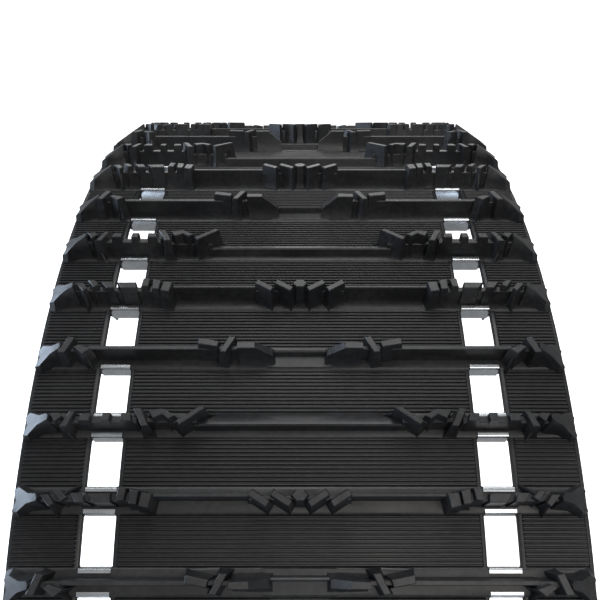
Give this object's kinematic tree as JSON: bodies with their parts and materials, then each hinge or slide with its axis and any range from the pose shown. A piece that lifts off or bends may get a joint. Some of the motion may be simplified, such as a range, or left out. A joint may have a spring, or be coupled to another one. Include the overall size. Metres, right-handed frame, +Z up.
{
  "type": "rubber track",
  "caption": "Endless rubber track belt for a snow vehicle, with alternating moulded traction lug rows, drive windows, steel guide clips and inner drive lugs.",
  "frame": {"origin": "on the ground, in the middle of the flattened stretch and on the belt's centre line", "axes": "+X across the belt, +Y along the ground run towards the rear, +Z up"},
  "size_m": [0.381, 1.0428, 0.971],
  "materials": {
    "band_rubber": "moulded natural rubber compound, fine ribs, semi-matte",
    "lug_rubber": "moulded hard tread rubber, semi-matte with a slight sheen",
    "drive_rubber": "moulded hard rubber, semi-matte",
    "clip_steel": "bright zinc-plated pressed steel",
    "glass_fibre_rod": "pultruded glass fibre and polyester resin",
    "cord_fabric": "woven polyester cord, dipped for bonding"
  },
  "bodies": {
    "section_01": {"belt_bands_01": "band_rubber", "lug_bars_01": "lug_rubber", "drive_lugs_01": "drive_rubber", "guide_clips_01": "clip_steel", "stiffening_rods_01": "glass_fibre_rod", "cord_ply_01": "cord_fabric"},
    "section_02": {"belt_bands_02": "band_rubber", "lug_bars_02": "lug_rubber", "drive_lugs_02": "drive_rubber", "guide_clips_02": "clip_steel", "stiffening_rods_02": "glass_fibre_rod", "cord_ply_02": "cord_fabric"},
    "section_03": {"belt_bands_03": "band_rubber", "lug_bars_03": "lug_rubber", "drive_lugs_03": "drive_rubber", "guide_clips_03": "clip_steel", "stiffening_rods_03": "glass_fibre_rod", "cord_ply_03": "cord_fabric"},
    "section_04": {"belt_bands_04": "band_rubber", "lug_bars_04": "lug_rubber", "drive_lugs_04": "drive_rubber", "guide_clips_04": "clip_steel", "stiffening_rods_04": "glass_fibre_rod", "cord_ply_04": "cord_fabric"},
    "section_05": {"belt_bands_05": "band_rubber", "lug_bars_05": "lug_rubber", "drive_lugs_05": "drive_rubber", "guide_clips_05": "clip_steel", "stiffening_rods_05": "glass_fibre_rod", "cord_ply_05": "cord_fabric"},
    "section_06": {"belt_bands_06": "band_rubber", "lug_bars_06": "lug_rubber", "drive_lugs_06": "drive_rubber", "guide_clips_06": "clip_steel", "stiffening_rods_06": "glass_fibre_rod", "cord_ply_06": "cord_fabric"},
    "section_07": {"belt_bands_07": "band_rubber", "lug_bars_07": "lug_rubber", "drive_lugs_07": "drive_rubber", "guide_clips_07": "clip_steel", "stiffening_rods_07": "glass_fibre_rod", "cord_ply_07": "cord_fabric"},
    "section_08": {"belt_bands_08": "band_rubber", "lug_bars_08": "lug_rubber", "drive_lugs_08": "drive_rubber", "guide_clips_08": "clip_steel", "stiffening_rods_08": "glass_fibre_rod", "cord_ply_08": "cord_fabric"},
    "section_09": {"belt_bands_09": "band_rubber", "lug_bars_09": "lug_rubber", "drive_lugs_09": "drive_rubber", "guide_clips_09": "clip_steel", "stiffening_rods_09": "glass_fibre_rod", "cord_ply_09": "cord_fabric"},
    "section_10": {"belt_bands_10": "band_rubber", "lug_bars_10": "lug_rubber", "drive_lugs_10": "drive_rubber", "guide_clips_10": "clip_steel", "stiffening_rods_10": "glass_fibre_rod", "cord_ply_10": "cord_fabric"}
  },
  "joints": [
    {"name": "foot_bend_front", "type": "hinge", "parent": "section_01", "child": "section_10", "pos_m": [0, -0.15233, 0.0235], "axis": [-1, 0, 0], "range_deg": [-14.4, 2.4], "stiffness_Nm_per_rad": 80, "springref_deg": 2.29},
    {"name": "lower_bend_front", "type": "hinge", "parent": "section_10", "child": "section_09", "pos_m": [0, -0.40039, 0.19295], "axis": [-1, 0, 0], "range_deg": [-3.6, 0.6], "stiffness_Nm_per_rad": 80, "springref_deg": 0.57},
    {"name": "side_bend_front", "type": "hinge", "parent": "section_09", "child": "section_08", "pos_m": [0, -0.49885, 0.47548], "axis": [-1, 0, 0], "range_deg": [-6, 36], "stiffness_Nm_per_rad": 80, "springref_deg": -5.73},
    {"name": "upper_bend_front", "type": "hinge", "parent": "section_08", "child": "section_07", "pos_m": [0, -0.39905, 0.75754], "axis": [-1, 0, 0], "range_deg": [-3.6, 0.6], "stiffness_Nm_per_rad": 80, "springref_deg": 0.57},
    {"name": "crown_bend_front", "type": "hinge", "parent": "section_07", "child": "section_06", "pos_m": [0, -0.15017, 0.92581], "axis": [-1, 0, 0], "range_deg": [-14.4, 2.4], "stiffness_Nm_per_rad": 80, "springref_deg": 2.29},
    {"name": "crown_bend_rear", "type": "hinge", "parent": "section_06", "child": "section_05", "pos_m": [0, 0.15025, 0.92581], "axis": [-1, 0, 0], "range_deg": [-14.4, 2.4], "stiffness_Nm_per_rad": 80, "springref_deg": 2.29},
    {"name": "foot_bend_rear", "type": "hinge", "parent": "section_01", "child": "section_02", "pos_m": [0, 0.1524, 0.0235], "axis": [1, 0, 0], "range_deg": [-14.4, 2.4], "stiffness_Nm_per_rad": 80, "springref_deg": 2.29},
    {"name": "lower_bend_rear", "type": "hinge", "parent": "section_02", "child": "section_03", "pos_m": [0, 0.40047, 0.19295], "axis": [1, 0, 0], "range_deg": [-3.6, 0.6], "stiffness_Nm_per_rad": 80, "springref_deg": 0.57},
    {"name": "side_bend_rear", "type": "hinge", "parent": "section_03", "child": "section_04", "pos_m": [0, 0.49893, 0.47548], "axis": [1, 0, 0], "range_deg": [-6, 36], "stiffness_Nm_per_rad": 80, "springref_deg": -5.73}
  ],
  "couplings": [
    {"joint": "foot_bend_front", "follows": "side_bend_front", "ratio": -0.4},
    {"joint": "lower_bend_front", "follows": "side_bend_front", "ratio": -0.1},
    {"joint": "upper_bend_front", "follows": "side_bend_front", "ratio": -0.1},
    {"joint": "crown_bend_front", "follows": "side_bend_front", "ratio": -0.4},
    {"joint": "crown_bend_rear", "follows": "side_bend_front", "ratio": -0.4},
    {"joint": "foot_bend_rear", "follows": "side_bend_front", "ratio": -0.4},
    {"joint": "lower_bend_rear", "follows": "side_bend_front", "ratio": -0.1},
    {"joint": "side_bend_rear", "follows": "side_bend_front", "ratio": 1}
  ]
}
